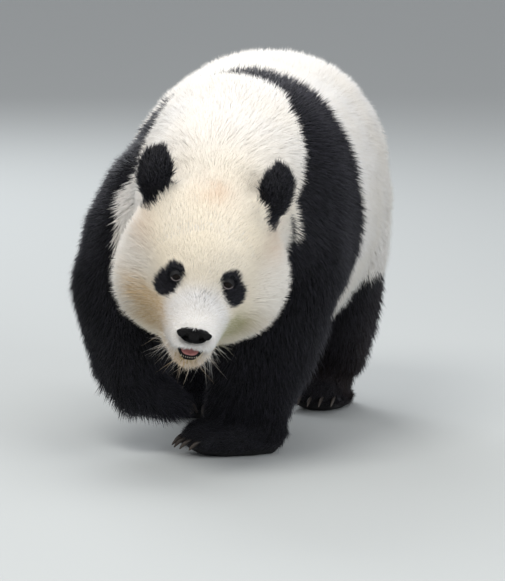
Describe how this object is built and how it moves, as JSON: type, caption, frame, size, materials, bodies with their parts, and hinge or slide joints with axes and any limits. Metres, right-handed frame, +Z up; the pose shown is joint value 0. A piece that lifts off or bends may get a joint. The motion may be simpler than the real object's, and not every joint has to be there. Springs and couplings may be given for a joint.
{
  "type": "giant panda",
  "caption": "Life-size still model of an adult giant panda walking with its head low, its mouth a little open and its right forefoot lifted",
  "frame": {"origin": "on the floor, under the middle of the animal's bounding box", "axes": "+Z up, the animal faces -Y, its own left side is +X"},
  "size_m": [0.6068, 1.36, 0.8042],
  "materials": {
    "white_coat": "dense short fur, cream white, warmer on the face and yellowed on the lower cheeks",
    "black_coat": "dense fur, blue-black with a soft sheen, browner on the hind legs",
    "hide": "the skin under the coat, marked as the coat is",
    "nose_leather": "moist black pebbled skin",
    "eye": "dark brown iris under a clear wet cornea",
    "claw_horn": "worn horn, darker at the root",
    "tongue": "moist pink flesh",
    "tooth": "ivory enamel",
    "paw_pad": "matt black cracked pad skin"
  },
  "bodies": {
    "root": {"head": "white_coat", "lower_jaw": "white_coat", "neck": "white_coat", "trunk": "white_coat", "tail": "white_coat", "ear_left": "black_coat", "ear_right": "black_coat", "forepaw_left": "black_coat", "forepaw_right": "black_coat", "hindfoot_left": "black_coat", "hindfoot_right": "black_coat", "foreleg_left": "black_coat", "foreleg_right": "black_coat", "hindleg_left": "black_coat", "hindleg_right": "black_coat", "nose": "nose_leather", "eye_left": "eye", "eye_right": "eye", "tongue": "tongue", "claw_forepaw_left_1": "claw_horn", "claw_forepaw_left_2": "claw_horn", "claw_forepaw_left_3": "claw_horn", "claw_forepaw_left_4": "claw_horn", "claw_forepaw_left_5": "claw_horn", "claw_forepaw_right_1": "claw_horn", "claw_forepaw_right_2": "claw_horn", "claw_forepaw_right_3": "claw_horn", "claw_forepaw_right_4": "claw_horn", "claw_forepaw_right_5": "claw_horn", "claw_hindfoot_left_1": "claw_horn", "claw_hindfoot_left_2": "claw_horn", "claw_hindfoot_left_3": "claw_horn", "claw_hindfoot_left_4": "claw_horn", "claw_hindfoot_left_5": "claw_horn", "claw_hindfoot_right_1": "claw_horn", "claw_hindfoot_right_2": "claw_horn", "claw_hindfoot_right_3": "claw_horn", "claw_hindfoot_right_4": "claw_horn", "claw_hindfoot_right_5": "claw_horn"}
  },
  "joints": []
}
